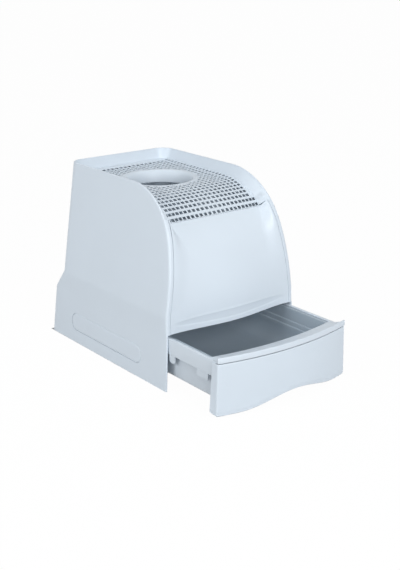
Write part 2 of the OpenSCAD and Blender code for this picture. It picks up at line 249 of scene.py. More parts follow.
# Moulded plastic: two close tints in slow clouds, a fine spark-eroded grain and a little handling wear.
# rough is the mean roughness, grain the texture's depth in mm, cloud how far the tint goes up and down
def mouldedPlastic(name, tint, rough=0.42, grain=0.02, cloud=0.02, spec=0.4):
    m = moulding
    material = bpy.data.materials.new(name)
    s = Shader(material)
    place = s.add("ShaderNodeTexCoord").out("Object")
    clouds, scuffs, fine = (
        s.add("ShaderNodeTexNoise", None, {"Vector": place, **m[key]}).value("Fac")
        for key in ("clouds", "scuffs", "fine"))
    low = [c * (1 - cloud) for c in tint] + [1]
    high = [min(1, c * (1 + cloud)) for c in tint] + [1]
    mixed = s.add("ShaderNodeMix", {"data_type": "RGBA"}, {0: clouds, 6: low, 7: high})
    roughness = (rough + (scuffs - 0.5) * m["scuffShare"] + (clouds - 0.5) * m["cloudShare"]).limited()
    bump = s.add("ShaderNodeBump", None, {"Strength": m["bump"], "Distance": grain / 1000, "Height": fine})
    surface = s.add("ShaderNodeBsdfPrincipled", None, {
        "Base Color": mixed.out(2), "Roughness": roughness, "Normal": bump, "Specular IOR Level": spec})
    s.add("ShaderNodeOutputMaterial", None, {"Surface": surface})
    return material


# The deck, flap, front, frame and tub are one bluish white plastic like the hood. The small steps in their
# tints are painted light and shade: lighter on the deck and flap, which face the light, and darker on the
# drawer's front, frame and tub, which lie more in shade
finishes = {
    "hoodPlastic": {"tint": (0.715, 0.785, 0.855)},
    "deckPlastic": {"tint": (0.72, 0.79, 0.86)},
    "flapPlastic": {"tint": (0.735, 0.805, 0.875), "rough": 0.36},
    "frontPlastic": {"tint": (0.70, 0.77, 0.84)},
    "framePlastic": {"tint": (0.69, 0.755, 0.82)},
    "tubPlastic": {"tint": (0.68, 0.745, 0.81)},
    "panPlastic": {"tint": (0.395, 0.46, 0.52), "rough": 0.38, "cloud": 0.05},
    "padRubber": {"tint": (0.02, 0.02, 0.022), "rough": 0.8, "grain": 0.05, "cloud": 0.2, "spec": 0.2},
}
finish = {name: mouldedPlastic(name, **look) for name, look in finishes.items()}
print("finishes made")

# Hood: at each of its levels the distance of the back and the half width. The mouth is where the front is
# open for the flap, and mouthTurns, in degrees, are where its thick edge gives way to the well's narrow one
hood = {
    "height": 440.0, "footUp": 0.3, "levels": (0, 121.5, 170, 440), "backs": (312, 300, 261, 265),
    "halves": (192, 185.7, 185, 146), "corner": (24, 34), "wall": 1.9, "sharp": 28,
    "sideColumns": 30, "cornerColumns": 12, "backColumns": 16, "mouthFoot": 130.8, "mouthTurns": (51.5, 52.0),
}
# Front edge of the side panels from the side: the brow arc, the flatter cheek arc below it, a leaning line.
# The rows are how many the skirt, shoulder band, cheek and brow get, with two heights beside the mouth's foot
brow = {
    "radius": 163.35, "turn": math.radians(74.25), "y": 12.8, "cheek": 460.0, "lean": math.radians(1.6),
    "skirtRows": 15, "mouthRows": (126, 136), "bandFrom": 142, "bandRows": 6, "cheekRows": 12, "browRows": 46,
    "fineArc": 900, "fineLine": 500, "fineFlat": 300,
}
# Section of that edge. Where three numbers stand they are for the well, beside the flap and below the mouth
rimEdge = {
    "face": (3.8, 11.0, 4.0), "innerRound": (1.4, 1.2, 1.2), "outerTurns": (0, 52, 66),
    "outerRounds": (1.6, 2.4, 4.6), "skirtRound": 1.7, "pastFace": (2.4, 3.4, 0.0), "skirtDeep": 9.0,
    "wallLean": 0.3, "ledge": 9.0, "kneeTurns": (42.0, 46.5), "kneeShare": 0.3, "knee": (14.0, 5.0),
    "sideFootDown": 35, "backFoot": 12.5, "roundTurns": (0, 22.5, 45, 67.5, 90),
}
# Deck: a sheet sunk below the rim, flat and then curved like the brow, raised a little along its edges
deck = {
    "drop": 32.0, "half": 131.4, "turn": math.radians(43.75), "thick": 1.2, "rear": 266.0, "tuck": 0.4,
    "hollow": 2.2, "hollowHalf": 131.0, "fillet": 3.6, "filletFrom": 108.0, "filletWide": 23.4,
    "backRise": 6.0, "backFrom": 232.0, "backWide": 34.0, "troughFrom": -60.0, "troughOver": 165.0,
    "troughWide": 1.6,
}

browCentre = np.array([-brow["y"], hood["height"] - brow["radius"]])
cheekCentre = browCentre + (brow["radius"] - brow["cheek"]) * radial(brow["turn"])


# Half width of the hood: skirt, shoulder band and upper wall are straight tapers
def halfWidth(z):
    return np.interp(z, hood["levels"], hood["halves"])


# Rows of a side panel's front edge from the floor up: a leaning line, the cheek arc, then the brow arc
def edgeRows():
    footTurn = math.pi / 2 + brow["lean"]
    top = cheekCentre + brow["cheek"] * radial(footTurn)
    bend, shoulder, mouth = hood["levels"][1], hood["levels"][2], hood["mouthFoot"]
    below, above = brow["mouthRows"]
    z = np.concatenate([
        np.linspace(hood["footUp"], bend, brow["skirtRows"]), [below, mouth - 0.1, mouth + 0.1, above],
        np.linspace(brow["bandFrom"], shoulder, brow["bandRows"]), [(shoulder + top[1]) / 2]])
    line = np.stack([top[0] - (top[1] - z) * math.tan(brow["lean"]), z], -1)
    cheekTurns = np.linspace(footTurn, brow["turn"], brow["cheekRows"])
    browTurns = np.linspace(brow["turn"], 0, brow["browRows"])[1:]
    browTurns = np.concatenate([browTurns, np.radians(hood["mouthTurns"])])
    browTurns = np.sort(browTurns)[::-1]
    base = np.concatenate([
        line, cheekCentre + brow["cheek"] * radial(cheekTurns),
        browCentre + brow["radius"] * radial(browTurns)])
    turns = np.concatenate([np.full(len(z), footTurn), cheekTurns, browTurns])
    normal = radial(turns)
    normal[:len(z)] = (-1, 0)
    return base, normal, turns


# The same edge as a fine line with its normals and arc length, from a turn down to the height low. drop
# lowers it all, which gives the profile that the deck and the flap follow
def fineProfile(turn, low, drop=0.0):
    footTurn = math.pi / 2 + brow["lean"]
    browTurns = np.linspace(turn, brow["turn"], brow["fineArc"])
    cheekTurns = np.linspace(brow["turn"], footTurn, brow["fineArc"])[1:]
    arc = np.concatenate([
        browCentre + brow["radius"] * radial(browTurns), cheekCentre + brow["cheek"] * radial(cheekTurns)])
    normal = np.concatenate([radial(browTurns), radial(cheekTurns)])
    t = np.linspace(0, 1, brow["fineLine"])[1:, None]
    z = arc[-1, 1] + (low + drop - arc[-1, 1]) * t
    line = np.concatenate([arc[-1, 0] - (arc[-1, 1] - z) * math.tan(brow["lean"]), z], 1)
    points = np.concatenate([arc, line]) - [0, drop]
    normal = np.concatenate([normal, np.tile(normal[-1], (len(line), 1))])
    length = np.concatenate([[0], np.cumsum(np.linalg.norm(np.diff(points, axis=0), axis=1))])
    return points, normal, length


# The gap from each row to a curve, measured along the row's normal. It is taken at the curve's point with the
# least gap across, of those whose gap along lies between least and most
def gapAlong(rows, normal, curve, least=-1e9, most=1e9):
    gap = curve[None] - rows[:, None]
    along = (gap * normal[:, None]).sum(-1)
    across = np.abs(gap[..., 0] * normal[:, None, 1] - gap[..., 1] * normal[:, None, 0])
    across[(along < least) | (along > most)] = 1e9
    return along[np.arange(len(rows)), across.argmin(1)]


# How deep the faces of deck and flap lie behind the edge, measured along each row's normal. The profile is
# carried on some way behind the brow and below the floor
def sunkDepth(base, normal):
    n, behind, below = brow["fineFlat"], 60, -80.0
    points = fineProfile(0.0, below, deck["drop"])[0]
    flat = np.stack([np.linspace(behind, -brow["y"], n), np.full(n, hood["height"] - deck["drop"])], -1)
    return -gapAlong(base, normal, np.concatenate([flat, points]), most=1)


# Rings of the skin at heights z: left side from yFront, quarter circle, back, quarter circle, right side
def skinRings(z, yFront):
    z, yFront = np.broadcast_arrays(np.asarray(z, float), np.asarray(yFront, float))
    z, yFront = z[:, None], yFront[:, None]
    back = np.interp(z, hood["levels"], hood["backs"])
    radius = np.interp(z, (0, hood["height"]), hood["corner"])
    half = halfWidth(z)
    ySide = yFront + np.linspace(0, 1, hood["sideColumns"]) * (back - radius - yFront)
    xSide = -half + 0 * ySide
    turn = np.linspace(0, math.pi / 2, hood["cornerColumns"])[1:]
    xCorner = -half + radius - radius * np.cos(turn)
    yCorner = back - radius + radius * np.sin(turn)
    across = np.linspace(-1, 1, hood["backColumns"])[1:-1]
    xBack = (half - radius) * across
    yBack = back + 0 * xBack
    x = np.concatenate([xSide, xCorner, xBack, -xCorner[:, ::-1], -xSide[:, ::-1]], 1)
    y = np.concatenate([ySide, yCorner, yBack, yCorner[:, ::-1], ySide[:, ::-1]], 1)
    flat = np.concatenate([np.zeros(hood["sideColumns"]), turn])
    lean = np.concatenate([flat, np.full(len(across), math.pi / 2), math.pi - flat[::-1]])
    outward = np.stack([-np.cos(lean), np.sin(lean)], -1)
    return x, y, outward, lean


# Section of the thick edge as distances inwards and deep: outer round r, face, inner round q, the wall by way
# of a knee to its foot, then a ledge. A knee of 0 keeps the wall straight, 1 bulges it over the hinge pins
def edgeSection(faceWidth, r, q, footIn, footDeep, ledge, knee):
    faceWidth, r, q, footIn, footDeep, ledge, knee = (
        np.asarray(v, float)[:, None] for v in (faceWidth, r, q, footIn, footDeep, ledge, knee))
    t = np.radians(rimEdge["roundTurns"])
    share, (bulgeIn, bulgeDeep) = rimEdge["kneeShare"], rimEdge["knee"]
    kneeIn = faceWidth + share * (footIn - faceWidth)
    kneeIn = kneeIn + knee * (bulgeIn - kneeIn)
    kneeDeep = q + share * (footDeep - q)
    kneeDeep = kneeDeep + knee * (bulgeDeep - kneeDeep)
    thirds, halves = np.array([0.33, 0.67, 1.0]), np.array([0.5, 1.0])
    inwards = [
        r * (1 - np.cos(t)), (r + faceWidth - q) / 2, faceWidth - q + q * np.sin(t), (faceWidth + kneeIn) / 2,
        kneeIn, kneeIn + (footIn - kneeIn) * thirds, footIn + ledge * halves]
    deep = [
        r * (1 - np.sin(t)), 0 * r, q * (1 - np.cos(t)), (q + kneeDeep) / 2,
        kneeDeep, kneeDeep + (footDeep - kneeDeep) * thirds, footDeep + 0 * ledge * halves]
    return np.concatenate(inwards, 1), np.concatenate(deep, 1)


# The thick edge's section follows the front edge of both side panels and then the panels' top. The skin is
# lofted from ring to ring behind it
def buildHood():
    base, normal, turns = edgeRows()
    n = len(base)
    mouth = base[:, 1] > hood["mouthFoot"]
    inWell = turns < math.radians(hood["mouthTurns"][0]) + 0.001
    zone = np.where(inWell, 0, np.where(mouth, 1, 2))
    faceWidth, innerRound, pastFace = (
        np.array(rimEdge[key])[zone] for key in ("face", "innerRound", "pastFace"))
    outerRound = np.interp(turns, np.radians(rimEdge["outerTurns"]), rimEdge["outerRounds"])
    outerRound = np.where(mouth, outerRound, rimEdge["skirtRound"])
    footDeep = np.where(mouth, sunkDepth(base, normal) + pastFace, rimEdge["skirtDeep"])
    footZ = (base - normal * footDeep[:, None])[:, 1]
    footIn = np.where(inWell, halfWidth(footZ) - deck["half"], faceWidth + rimEdge["wallLean"])
    ledge = np.where(zone == 1, rimEdge["ledge"], 0.0)
    kneeFrom, kneeTo = np.radians(rimEdge["kneeTurns"])
    knee = np.where(inWell, smooth((turns - kneeFrom) / (kneeTo - kneeFrom)), 0)
    inwards, deep = edgeSection(faceWidth, outerRound, innerRound, footIn, footDeep, ledge, knee)
    # Left edge strip, row by row
    yz = base[:, None] - normal[:, None] * deep[..., None]
    x = -(halfWidth(yz[..., 1]) - inwards)
    left = np.concatenate([x[..., None], yz], -1)
    right = left * [-1, 1, 1]
    # Panel rows start where the strip's outer round ends
    panelZ, panelY = left[:, 0, 2], left[:, 0, 1]
    px, py, outward, lean = skinRings(panelZ, panelY)
    m = px.shape[1]
    panel = np.stack([px, py, np.repeat(panelZ[:, None], m, 1)], -1)
    # Rim: the section at turn 0, carried round the top of the panel
    back = np.sin(lean) ** 2
    sideFoot = halfWidth(hood["height"] - rimEdge["sideFootDown"]) - deck["half"]
    rimFoot = sideFoot * (1 - back) + rimEdge["backFoot"] * back
    rimFace, rimOuter, rimInner, rimDeep = (
        np.full(m, v[-1]) for v in (faceWidth, outerRound, innerRound, footDeep))
    rimIn, rimDown = edgeSection(rimFace, rimOuter, rimInner, rimFoot, rimDeep, np.zeros(m), np.zeros(m))
    cols = rimIn.shape[1]
    z = hood["height"] - rimDown[0]
    sx, sy, _, _ = skinRings(z, np.full(cols, -brow["y"]))
    rim = np.stack([
        sx.T - outward[:, :1] * rimIn, sy.T - outward[:, 1:] * rimIn, np.repeat(z[None], m, 0)], -1)
    parts = [
        (panel, gridFaces(n, m)), (left, gridFaces(n, cols)), (right, gridFaces(n, cols)),
        (rim, gridFaces(m, cols))]
    return makePiece("hoodShell", parts, wall=hood["wall"], sharp=hood["sharp"], outward=(2, 1))


# Grip insert: a pill-shaped plate flush in the skirt. insets are its rings' distances from its edge
grip = {
    "length": 300.0, "height": 44.0, "y": 57.0, "z": 53.5, "gap": 0.55, "thick": 2.4, "wall": 1.2,
    "sunk": 0.1, "round": 0.9, "insets": (0.0, 0.0, 0.15, 0.5, 1.0, 6.0, 14.0), "cut": (181.0, 197.0),
    "turns": 24,
}


# Pill outline: two half circles of the given radius at the ends of a middle line
def pill(radius):
    t = np.linspace(-math.pi / 2, math.pi / 2, grip["turns"])
    reach = grip["length"] / 2 - grip["height"] / 2
    y = np.concatenate([reach + radius * np.cos(t), -reach - radius * np.cos(t)])
    z = np.concatenate([radius * np.sin(t), -radius * np.sin(t)])
    return y + grip["y"], z + grip["z"]


# The pill's outline carried straight through the skirt's wall
def pillCutter(side):
    y, z = pill(grip["height"] / 2)
    rings = [np.stack([np.full(len(y), side * x), y, z], -1) for x in grip["cut"]]
    return makePiece("pillCutter", [joinRings(rings)])


# The insert follows the skin, and falls away at its edge by the square of what is left of the last mm
def buildGrip(side, name):
    outer = grip["height"] / 2 - grip["gap"]
    rows = []
    for inset in (*grip["insets"], outer - 0.01):
        y, z = pill(outer - inset)
        down = grip["round"] * (1 - min(inset, 1.0)) ** 2 + grip["sunk"]
        rows.append(np.stack([side * (halfWidth(z) - down), y, z], -1))
    rows[0][:, 0] -= side * grip["thick"]
    parts = [(np.concatenate(rows), gridFaces(len(rows), len(y), True))]
    return makePiece(name, parts, wall=grip["wall"], sharp=35, outward=(0, side), weld=0.05)


hoodShell = buildHood()
for side in (-1, 1):
    cutOut(hoodShell, pillCutter(side), hood["sharp"])
finishPiece(hoodShell, "hood", ["hood_shell"], "hoodPlastic")
for side, word in ((-1, "left"), (1, "right")):
    insert = buildGrip(side, "gripInsert_" + word)
    finishPiece(insert, "hood", ["side_grip_" + word], "hoodPlastic")
print("hood made")

# Deck holes: straight columns on the flat part go over into sine-spaced ones on the curve. curvedRows are
# arc lengths in front of where the flat part ends
holes = {
    "side": 8.2, "length": 8.7, "columns": 11, "rearPitch": 12.7, "spread": 183.6, "step": 0.0688,
    "curvedRows": (119, 103.3, 88.6, 74.6, 61.2, 48.1, 35.1, 22.2, 9.3), "flatPitch": 12.9, "flatRows": 20,
    "blendFrom": -20.0, "blendOver": 139.0, "keepOff": 0.6,  # blend is from straight to sine-spaced columns
}
# Entry hole: half axes of its ellipse, and the collar's section as distances out from it and up from the deck
entry = {
    "y": 94.0, "halfX": 91.0, "halfY": 86.0, "keepOff": 6.5, "cutIn": 0.5, "cut": (390, 425), "depth": 28.0,
    "cutColumns": 96, "columns": 128,
    "out": (6.0, 4.5, 2.0, -0.5, -3.0, -5.2, -7.2, -9.0, -10.2, -11.2, -11.9),
    "up": (0.0, 0.55, 1.0, 0.9, 0.0, -1.8, -4.4, -8.5, -13.5, -19.5, -28.0), "wall": 1.6,
}


# How much of the trough is left at arc length s in front of the flat part
def troughShare(s):
    return 1 - smooth((s - deck["troughFrom"]) / deck["troughOver"])


# Deck face: flat behind s = 0, then round an arc as wide as the brow's. It rises by the square of x towards
# its sides, and by squares of what is past the fillet's and the back's starts
def deckPoint(x, s):
    d = deck
    turn = np.maximum(s, 0) / brow["radius"]
    y = -brow["y"] - brow["radius"] * np.sin(turn) - np.minimum(s, 0)
    z = hood["height"] - d["drop"] - brow["radius"] * (1 - np.cos(turn))
    side = d["hollow"] * (x / d["hollowHalf"]) ** 2
    side = side + d["fillet"] * (np.maximum(np.abs(x) - d["filletFrom"], 0) / d["filletWide"]) ** 2
    back = d["backRise"] * np.clip((-s - d["backFrom"]) / d["backWide"], 0, 1) ** 2
    z = z + np.maximum(side * troughShare(s), back)
    return np.stack([x, y, z], -1)


# A grid whose lines are the holes' edges, less the quads of the holes, with the entry hole cut through it
def buildDeck():
    curved = np.array(holes["curvedRows"])
    flat = curved[-1] - holes["flatPitch"] * np.arange(1, holes["flatRows"] + 1)
    rows = np.concatenate([curved, flat])[::-1]
    h, g = holes["side"] / 2, holes["length"] / 2
    front = deck["turn"] * brow["radius"]
    s = np.concatenate([[-deck["rear"]], np.stack([rows - g, rows + g], -1).ravel(), [front]])
    i = np.arange(-holes["columns"], holes["columns"] + 1)
    share = smooth((s - holes["blendFrom"]) / holes["blendOver"])[:, None]
    centre = (1 - share) * holes["rearPitch"] * i + share * holes["spread"] * np.sin(holes["step"] * i)
    lines = np.stack([centre - h, centre + h], -1).reshape(len(s), -1)
    reach = (deck["half"] + deck["troughWide"] * troughShare(s) + deck["tuck"])[:, None]
    x = np.concatenate([-reach, np.clip(lines, -reach, reach), reach], 1)
    x.sort(axis=1)
    points = deckPoint(x, np.repeat(s[:, None], x.shape[1], 1))
    faces = gridFaces(*x.shape)
    # Holes lie clear of the deck's sides and of the collar
    r, c = np.meshgrid(np.arange(len(s) - 1), np.arange(x.shape[1] - 1), indexing="ij")
    mid = (points[:-1, :-1] + points[1:, 1:] + points[:-1, 1:] + points[1:, :-1]) / 4
    off = entry["keepOff"]
    away = np.hypot(mid[..., 0] / (entry["halfX"] + off), (mid[..., 1] - entry["y"]) / (entry["halfY"] + off))
    wide = x[:-1, 1:] - x[:-1, :-1]
    inside = np.abs(mid[..., 0]) + h + holes["keepOff"] < reach[:-1]
    hole = (r % 2 == 1) & (c % 2 == 1) & (away > 1) & inside & (wide > h)
    parts = [(points, faces[~hole.ravel()])]
    piece = makePiece("deckGrid", parts, wall=deck["thick"], sharp=30, outward=(2, 1))
    t = circleTurns(entry["cutColumns"])
    halfX, halfY = entry["halfX"] - entry["cutIn"], entry["halfY"] - entry["cutIn"]
    ring = np.stack([halfX * np.cos(t), entry["y"] + halfY * np.sin(t), 0 * t], -1)
    cutOut(piece, makePiece("entryCutter", [joinRings([ring + [0, 0, z] for z in entry["cut"]])]), 30)
    return piece


# Collar: a rounded lip that lies on the deck and turns down into a funnel, swept round the ellipse
def buildCollar():
    out, up = np.array(entry["out"])[:, None], np.array(entry["up"])[:, None]
    t = circleTurns(entry["columns"])
    x = (entry["halfX"] + out) * np.cos(t)
    y = entry["y"] + (entry["halfY"] + out) * np.sin(t)
    deckZ = hood["height"] - deck["drop"]
    lift = deckPoint(x, -brow["y"] - y)[..., 2] - deckZ
    z = deckZ + up + lift * smooth(1 + up / entry["depth"])
    parts = [(np.stack([x, y, z], -1), gridFaces(len(out), len(t), True))]
    return makePiece("entryCollar", parts, wall=entry["wall"], sharp=50, outward=(2, 1))


finishPiece(buildDeck(), "hood", ["deck_grid"], "deckPlastic")
finishPiece(buildCollar(), "hood", ["entry_collar"], "deckPlastic")
print("deck made")

# Flap: gaps and cove are pairs of heights and of what holds there, the side gap and the coves' width. pivot
# is (y, z), ear and pin are the x at which they start and end, and crowd packs the columns towards the sides
flap = {
    "bottom": 131.0, "turn": math.radians(43.97), "sink": 0.6, "thick": 2.0, "columns": 105, "crowd": 0.4,
    "rows": ((0, 0.84, 62), (0.84, 1, 46)), "bow": 15.0, "bowTop": 362.0, "bowOver": 231.0, "bowPower": 1.3,
    "pivot": (-128.4, 378.93), "ear": (140.6, 143.4), "earRadius": 4.6, "earTurns": (-60, 180, 25),
    "arm": ((-5.0, -26.0), (0.5, -20.0)), "pin": (141.0, 150.2), "pinRadius": 3.0, "pinColumns": 32,
    "chamfer": (0.4, 0.8), "levelBelow": 150.0, "crestDown": 60.0,
    "gaps": ((131, 220, 290, 365), (0.5, 0.6, 0.8, 1.2)), "crestSink": 0.8,
    "cove": ((131, 180, 250, 310, 345, 362), (18, 36, 52, 46, 26, 15)), "coveFlat": 2.0,
    "scoop": 1.7, "scoopMiddle": 152.0, "scoopUp": 8.5, "scoopDown": 9.5, "scoopEnd": 0.95,
    "scoopFade": (0.45, 4.0), "ridge": 0.6, "ridgeWide": 3.0,
}


# How far the side panels' edge stands out from each point, along its normal and less the crest's sink
def crestHeight(points, normal):
    crest, crestNormal, _ = fineProfile(0.0, flap["crestDown"])
    return gapAlong(points, normal, crest - flap["crestSink"] * crestNormal, least=-4)


# Half width of the flap: the hood's, less the thick edge beside it and the gap
def flapHalf(z):
    return halfWidth(z) - rimEdge["face"][1] - np.interp(z, *flap["gaps"])


# Flap face: the sunk profile by arc length, bowed forwards lower down in one cosine wave, with a lens-shaped
# scoop near its foot that goes in from a slight ridge, and sides that sweep up to the edge of the side panels
def buildFlap():
    f = flap
    points, normal, length = fineProfile(f["turn"], f["bottom"], deck["drop"])
    u = np.linspace(-1, 1, f["columns"])
    u = (1 + f["crowd"]) * u - f["crowd"] * u ** 3
    upper, lower = f["rows"]
    run = np.concatenate([np.linspace(*upper), np.linspace(*lower)[1:]]) * length[-1]
    y, z = (np.interp(run, length, points[:, k]) for k in (0, 1))
    ny, nz = (np.interp(run, length, normal[:, k]) for k in (0, 1))
    crest = crestHeight(np.stack([y, z], -1), np.stack([ny, nz], -1))[:, None]
    y, z, ny, nz = (c[:, None] for c in (y, z, ny, nz))
    half = flapHalf(z)
    low = np.clip((f["bowTop"] - z) / f["bowOver"], 0, 1) ** f["bowPower"]
    rise = f["bow"] * low * (1 + np.cos(math.pi * u)) / 2
    lens = np.clip(1 - (u / f["scoopEnd"]) ** 2, 0, 1) ** 0.5
    top = f["scoopMiddle"] + f["scoopUp"] * lens
    foot = f["scoopMiddle"] - f["scoopDown"] * lens - 0.01
    cut = f["scoop"] * lens * np.clip((top - z) / (top - foot), 0, 1)
    fade, fadeOver = f["scoopFade"]
    cut = cut * (1 - fade * smooth((foot - z) / fadeOver))
    ridge = f["ridge"] * lens * np.exp(-((z - top) / f["ridgeWide"]) ** 2)
    push = rise + ridge - f["sink"] - cut
    width = np.interp(z, *f["cove"])
    sweep = smooth((np.abs(u) * half - half + width) / (width - f["coveFlat"]))
    push = push + (np.maximum(crest, -f["sink"]) - push) * sweep
    # The sides draw in a little where they stand out, as the hood narrows upwards
    reach = flapHalf(z + nz * push)
    x = u * np.minimum(half, reach + (half - reach) * (1 - sweep))
    face = np.stack([x, y + ny * push, z + nz * push * (z > f["levelBelow"])], -1)
    return makePiece("frontFlap", [(face, gridFaces(*x.shape))], wall=f["thick"], sharp=45, outward=(1, -1))


# Ears: round eyes on arms that reach down to the sheet
def buildEars():
    t = np.radians(np.linspace(*flap["earTurns"]))
    outline = flap["earRadius"] * np.stack([np.cos(t), np.sin(t)], -1)
    outline = np.concatenate([outline, flap["arm"]]) + flap["pivot"]
    column = np.ones((len(outline), 1))
    parts = [
        joinRings([np.concatenate([side * x * column, outline], 1) for x in flap["ear"]]) for side in (-1, 1)]
    return makePiece("flapEars", parts, sharp=35)


# Hinge pin: a round pin with a small chamfer at each end
def buildPin(side, name):
    t = circleTurns(flap["pinColumns"])
    x0, x1 = flap["pin"]
    length, share = flap["chamfer"]
    rings = []
    for x, r in ((x0, share), (x0 + length, 1.0), (x1 - length, 1.0), (x1, share)):
        eye = np.array(flap["pivot"]) + r * flap["pinRadius"] * np.stack([np.cos(t), np.sin(t)], -1)
        rings.append(np.concatenate([np.full((len(t), 1), side * x), eye], 1))
    return makePiece(name, [joinRings(rings)], sharp=35)


flapSheet, flapEars = buildFlap(), buildEars()
finishPiece(flapSheet, "flap", ["front_flap"], "flapPlastic")
finishPiece(flapEars, "flap", ["front_flap"], "flapPlastic")
for side, word in ((-1, "left"), (1, "right")):
    pin = buildPin(side, "hingePin_" + word)
    finishPiece(pin, "hood", ["hinge_pin_" + word], "hoodPlastic")
print("flap made")

# Tub: inner and outer give (inset, height) of its rings from the rim's underside down. A heel at each rear
# corner, given as its x, y and z, meets the stops on the runners
tub = {
    "half": 169.0, "front": 193.0, "bow": 20.0, "rear": 276.0, "rearRound": 20.0, "frontRound": 8.0,
    "inner": (
        (-8, 114.4), (-8, 116.8), (-7.4, 117.4), (2.5, 117.4), (2.5, 60), (2.7, 39), (4.2, 35), (8, 33.6)),
    "outer": (
        (-8, 114.4), (-0.2, 114.4), (0, 114), (0, 60), (0.1, 38), (0.9, 34.6), (2.6, 32.2), (5.2, 31)),
    "heel": ((168.6, 180.5), (246.0, 252.0), (31.0, 49.0)), "leastRounds": (3.0, 2.0),
    "columns": {"front": 41, "corner": 9, "side": 20, "rear": 10},
}


# Plan of a tray: front bowed by a parabola, small front corners, straight sides and round rear corners
def trayPlan(half, front, bow, rear, rearRadius, frontRadius):
    n = tub["columns"]
    x = np.linspace(-half + frontRadius, half - frontRadius, n["front"])
    low = np.stack([x, -front - bow * (1 - (x / half) ** 2)], -1)
    share = np.linspace(0, 1, n["corner"])[1:]
    corner = cornerCurve(low[-1], [half, -front], [half, -front + frontRadius], share)
    y = np.linspace(-front + frontRadius, rear - rearRadius, n["side"])[1:-1]
    side = np.stack([np.full(len(y), half), y], -1)
    a = np.linspace(0, math.pi / 2, n["rear"])
    rearCorner = [half - rearRadius, rear - rearRadius] + rearRadius * np.stack([np.cos(a), np.sin(a)], -1)
    right = np.concatenate([corner, side, rearCorner])
    left = right[::-1] * [-1, 1]
    return np.concatenate([low, right, left[:-1]])


# A corner's round: the quadratic curve from start to end that heads for the knee between them
def cornerCurve(start, knee, end, t):
    t = t[:, None]
    return (1 - t) ** 2 * start + 2 * t * (1 - t) * np.array(knee) + t * t * np.array(end)


# Rings of a tray's plan, one for each (inset, height), drawn in by the inset. less draws in all of it
def trayRings(levels, rearRadius, frontRadius, less=0.0):
    rings = []
    for inset, z in levels:
        half, front, rear = (tub[key] - less - inset for key in ("half", "front", "rear"))
        rounds = np.maximum(np.array([rearRadius, frontRadius]) - inset, tub["leastRounds"])
        plan = trayPlan(half, front, tub["bow"], rear, *rounds)
        rings.append(np.concatenate([plan, np.full((len(plan), 1), z)], 1))
    return np.stack(rings)


# Two trays, one in the other, that meet along the rim, and a box for each heel
def buildTub():
    parts = [
        joinRings(trayRings(tub[key], tub["rearRound"], tub["frontRound"]), firstCap=False)
        for key in ("inner", "outer")]
    xs, ys, zs = tub["heel"]
    sides = [[0, 1, 3, 2], [4, 5, 7, 6], [0, 1, 5, 4], [2, 3, 7, 6], [0, 2, 6, 4], [1, 3, 7, 5]]
    for side in (-1, 1):
        parts.append((np.array([[side * x, y, z] for x in xs for y in ys for z in zs]), sides))
    return makePiece("drawerTub", parts, shift=-drawerOut, sharp=35)


# Pan: (inset, height) of its rings down the flange and stepped wall, and the round foot below the last one
pan = {
    "less": 3.0, "rearRound": 26.0, "frontRound": 12.0, "wall": 2.0, "floor": 36.0, "footWide": 34.0,
    "footPower": 1.5, "footSteps": (0.12, 1, 9),
    "levels": (
        (-10.5, 119.2), (-10.5, 121.2), (-10.1, 121.6), (1.2, 121.6), (1.9, 121.1), (2.2, 120.2), (3.6, 95.6),
        (4.0, 94.4), (6.2, 93.2), (6.6, 92.4), (7.4, 84.0), (7.8, 83.0), (10.0, 81.8), (10.6, 80.8)),
}


# The foot goes in by the square of its share t, and down to the floor by a power of what is left
def buildPan():
    inset, top = pan["levels"][-1]
    t = np.linspace(*pan["footSteps"])
    down = pan["floor"] + (top - pan["floor"]) * (1 - t) ** pan["footPower"]
    foot = np.stack([inset + pan["footWide"] * t * t, down], -1)
    rings = trayRings([*pan["levels"], *foot], pan["rearRound"], pan["frontRound"], pan["less"])
    parts = [joinRings(rings, firstCap=False)]
    return makePiece("litterPan", parts, shift=-drawerOut, wall=pan["wall"], sharp=35, outward=(2, 1))


# Outward direction across a plan path: its own differences, turned by a right angle
def pathOutward(path):
    step = np.gradient(path, axis=0)
    step /= np.linalg.norm(step, axis=1)[:, None]
    return np.stack([step[:, 1], -step[:, 0]], -1)


# Carries a closed section, given as (inwards, z), along a plan path and caps its ends
def sweepClosed(path, outward, section):
    section = np.asarray(section, float)
    points = np.empty((len(path), len(section), 3))
    points[..., :2] = path[:, None] - outward[:, None] * section[None, :, :1]
    points[..., 2] = section[None, :, 1]
    return joinRings(points)


# Frame that clips over the tub: section is (inwards, z) of the bar round its sides and rear, and lip is
# (share of the way from the front's face to the opening, z). The ramp is what lies past a share and over a
# height, and fall takes it down at its ends
clipFrame = {
    "half": 181.0, "front": 204.0, "rear": 284.0, "round": 26.0,
    "section": (
        (0, 88.5), (0, 122.2), (0.5, 123.5), (1.8, 124), (7.2, 124), (7.9, 123.4), (8, 122.2), (2.6, 122.2),
        (2.6, 88.5), (2.1, 88), (0.5, 88)),
    "lip": (
        (0, 123.2), (0, 134.0), (0.015, 135.0), (0.045, 135.5), (0.08, 135.3), (0.13, 134.6), (0.5, 129.6),
        (0.9, 124.9), (0.97, 124.2), (1, 123.4), (1, 120.6), (0.2, 120.6), (0.2, 123.2)),
    "sideShare": 0.25, "rampHalf": 180.2, "opening": 175.5, "openingBow": 20.0, "openingHalf": 173.0,
    "ramp": (0.1, 124), "fall": 6.0, "fallFrom": 167.0, "fallOver": 12.0, "fallTo": 123.8,
    "columns": {"side": 20, "corner": 12, "rear": 7, "lip": 97},
}
